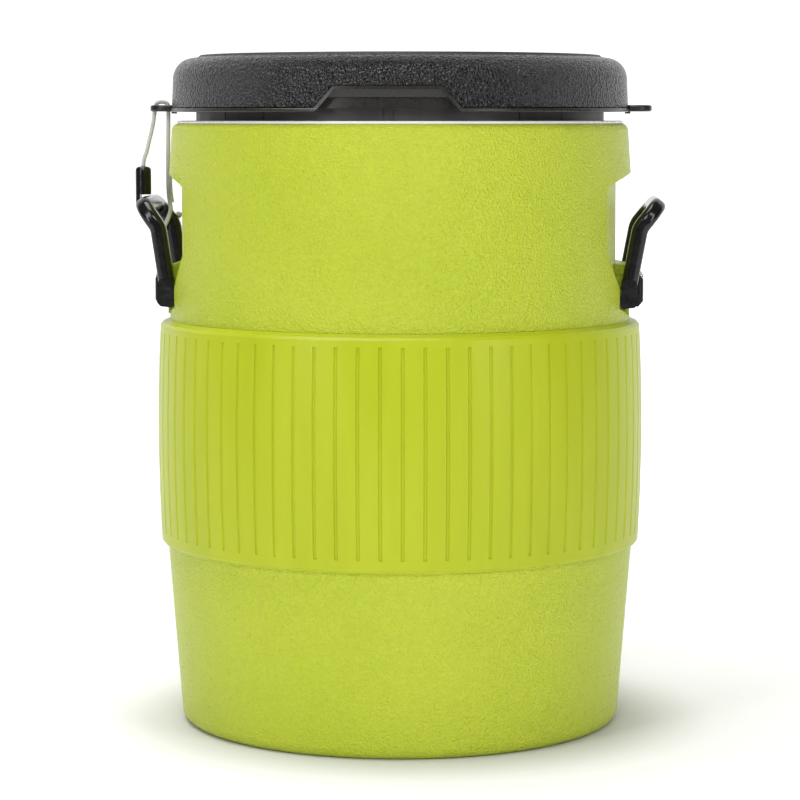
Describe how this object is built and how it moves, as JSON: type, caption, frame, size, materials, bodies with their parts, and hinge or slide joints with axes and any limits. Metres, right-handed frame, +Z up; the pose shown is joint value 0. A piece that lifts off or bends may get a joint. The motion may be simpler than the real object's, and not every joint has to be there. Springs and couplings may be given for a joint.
{
  "type": "round insulated drinks cooler",
  "caption": "Round double-walled drinks cooler with a lift-off seat lid on a tether cord, folding side handles, a ribbed belt and a push-button tap at the foot.",
  "frame": {"origin": "centre of the base, on the plane the standing ring rests on", "axes": "+Z up, handles at +X and -X, the lid's finger notch at -Y, the tap at +Y"},
  "size_m": [0.4174, 0.3828, 0.5244],
  "materials": {
    "green_shell": "lime green moulded plastic with a fine leather grain",
    "white_liner": "smooth white food-grade plastic",
    "foam": "rigid closed-cell foam, hidden",
    "black_lid": "charcoal black moulded plastic with a pebbled grain",
    "grey_plug": "dark grey moulded plastic",
    "glossy_black": "glossy black moulded plastic",
    "dark_plastic": "plain black plastic",
    "steel": "stainless steel",
    "cord": "braided ivory cord",
    "white_tap": "white moulded plastic",
    "black_rubber": "soft black rubber"
  },
  "bodies": {
    "tub": {"outer_shell": "green_shell", "inner_liner": "white_liner", "body_insulation": "foam", "foam_fill_plug": "dark_plastic", "handle_pin_left": "steel", "handle_pin_right": "steel", "handle_bracket_left": "glossy_black", "handle_bracket_right": "glossy_black", "bracket_screws_left": "steel", "bracket_screws_right": "steel", "tap_body": "white_tap", "tap_gasket": "black_rubber", "tap_inner_washer": "black_rubber", "tap_nut": "white_tap", "tap_bonnet": "white_tap", "tap_stem_ring": "black_rubber", "tap_spring": "steel"},
    "lid": {"lid_shell": "black_lid", "lid_plug": "grey_plug", "lid_insulation": "foam", "tether_cord_upper": "cord", "tether_cord_free": "cord"},
    "right_bail": {"handle_right": "glossy_black"},
    "left_bail": {"handle_left": "glossy_black", "tether_eye": "cord", "tether_cord_lower": "cord"},
    "tap_push": {"tap_button": "dark_plastic", "tap_stem": "white_tap", "tap_seal": "black_rubber"},
    "cord_stop": {"tether_toggle": "glossy_black"}
  },
  "joints": [
    {"name": "lid_lift", "type": "slide", "parent": "tub", "child": "lid", "axis": [0, 0, 1], "range_m": [0, 0.04], "deforming": ["tether_cord_upper", "tether_cord_free"]},
    {"name": "right_handle_swing", "type": "hinge", "parent": "tub", "child": "right_bail", "pos_m": [0.18, 0, 0.339], "axis": [0, 1, 0], "range_deg": [-11.5, 0]},
    {"name": "left_handle_swing", "type": "hinge", "parent": "tub", "child": "left_bail", "pos_m": [-0.18, 0, 0.339], "axis": [0, -1, 0], "range_deg": [-9, 0], "deforming": ["tether_cord_lower"]},
    {"name": "tap_press", "type": "slide", "parent": "tub", "child": "tap_push", "axis": [0, 0, -1], "range_m": [0, 0.005], "stiffness_N_per_m": 600, "springref_m": -0.004, "deforming": ["tap_spring"]},
    {"name": "cord_run", "type": "slide", "parent": "lid", "child": "cord_stop", "axis": [0.2298, 0, 0.9732], "range_m": [0, 0.04]}
  ],
  "couplings": [
    {"joint": "cord_run", "follows": "lid_lift", "ratio": 1}
  ]
}
